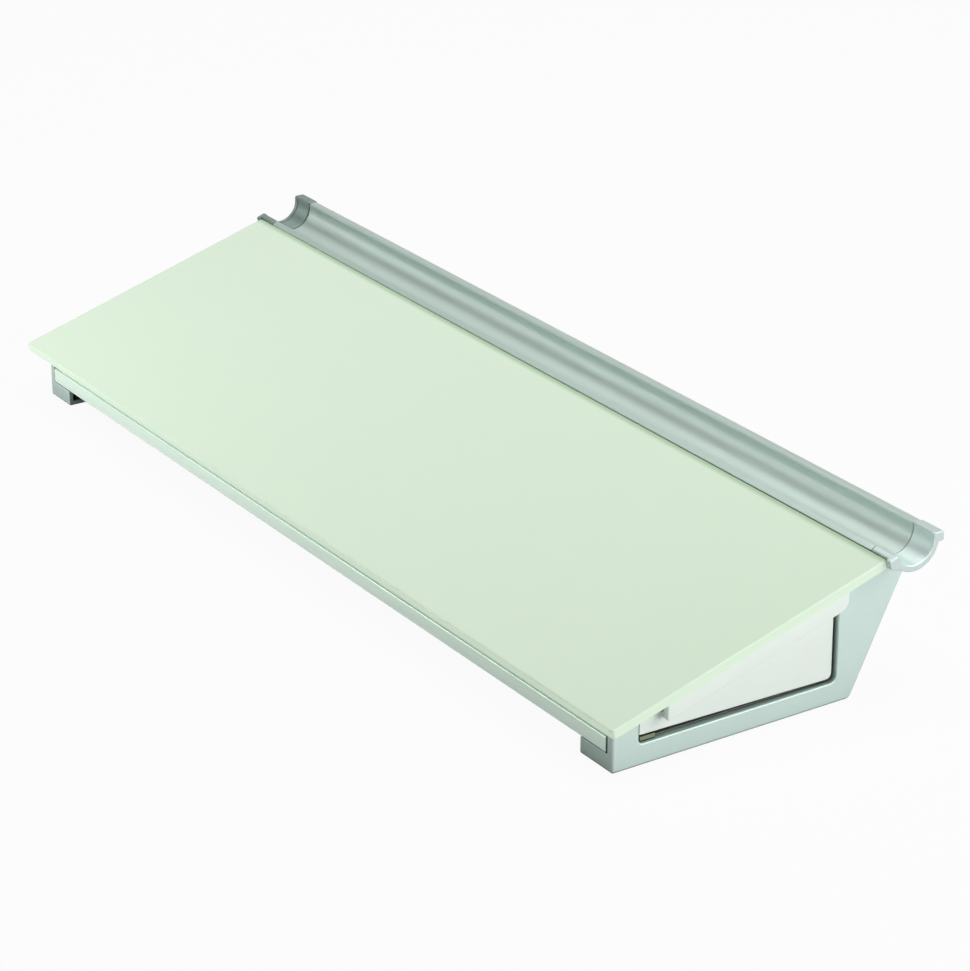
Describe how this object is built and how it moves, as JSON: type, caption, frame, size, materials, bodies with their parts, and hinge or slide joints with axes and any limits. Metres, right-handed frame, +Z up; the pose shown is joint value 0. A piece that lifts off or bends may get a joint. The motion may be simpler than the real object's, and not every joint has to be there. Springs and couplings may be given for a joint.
{
  "type": "desktop dry-erase pad",
  "caption": "Low sloping desktop writing pad: white glass panel on silver end frames, open pen trough along the back edge and a wedge-shaped drawer that slides out of one end.",
  "frame": {"origin": "middle of the footprint, on the surface that the pad stands on", "axes": "+X along the glass towards the drawer's end, +Y from the low front edge to the pen trough, +Z up"},
  "size_m": [0.4628, 0.1488, 0.0663],
  "materials": {
    "white_glass": "tempered glass, painted white behind",
    "bonding_tape": "matt foam tape",
    "sheet_plastic": "matt sheet",
    "satin_aluminium": "satin anodised",
    "silver_plastic": "silver paint",
    "white_plastic": "fine satin",
    "foot_rubber": "matt",
    "zinc_steel": "zinc plated"
  },
  "bodies": {
    "pad": {"glass_panel": "white_glass", "bond_tape_front": "bonding_tape", "bond_tape_rear": "bonding_tape", "bond_tape_left": "bonding_tape", "bond_tape_right": "bonding_tape", "support_deck": "sheet_plastic", "base_pan": "sheet_plastic", "front_rail": "satin_aluminium", "pen_trough": "satin_aluminium", "trough_end_cap_right": "silver_plastic", "trough_end_cap_left": "silver_plastic", "end_frame_right": "silver_plastic", "end_frame_left": "silver_plastic", "runner_front": "white_plastic", "runner_rear": "white_plastic", "stop_block": "white_plastic", "foot_pad_front_right": "foot_rubber", "foot_pad_front_left": "foot_rubber", "foot_pad_rear_right": "foot_rubber", "foot_pad_rear_left": "foot_rubber", "rail_screw_left": "zinc_steel", "rail_screw_right": "zinc_steel", "trough_screw_left": "zinc_steel", "trough_screw_right": "zinc_steel", "base_screw_1": "zinc_steel", "base_screw_2": "zinc_steel", "base_screw_3": "zinc_steel", "base_screw_4": "zinc_steel", "deck_screw_front_1": "zinc_steel", "deck_screw_front_2": "zinc_steel", "deck_screw_front_3": "zinc_steel", "deck_screw_front_4": "zinc_steel", "deck_screw_rear_1": "zinc_steel", "deck_screw_rear_2": "zinc_steel", "deck_screw_rear_3": "zinc_steel", "deck_screw_rear_4": "zinc_steel", "runner_screw_1": "zinc_steel", "runner_screw_2": "zinc_steel", "runner_screw_3": "zinc_steel", "runner_screw_4": "zinc_steel", "stop_screw": "zinc_steel"},
    "drawer": {"drawer_tray": "white_plastic", "drawer_front": "white_plastic", "drawer_front_screw_1": "zinc_steel", "drawer_front_screw_2": "zinc_steel", "drawer_front_screw_3": "zinc_steel"}
  },
  "joints": [
    {"name": "drawer_slide", "type": "slide", "parent": "pad", "child": "drawer", "axis": [1, 0, 0], "range_m": [0, 0.15]}
  ]
}
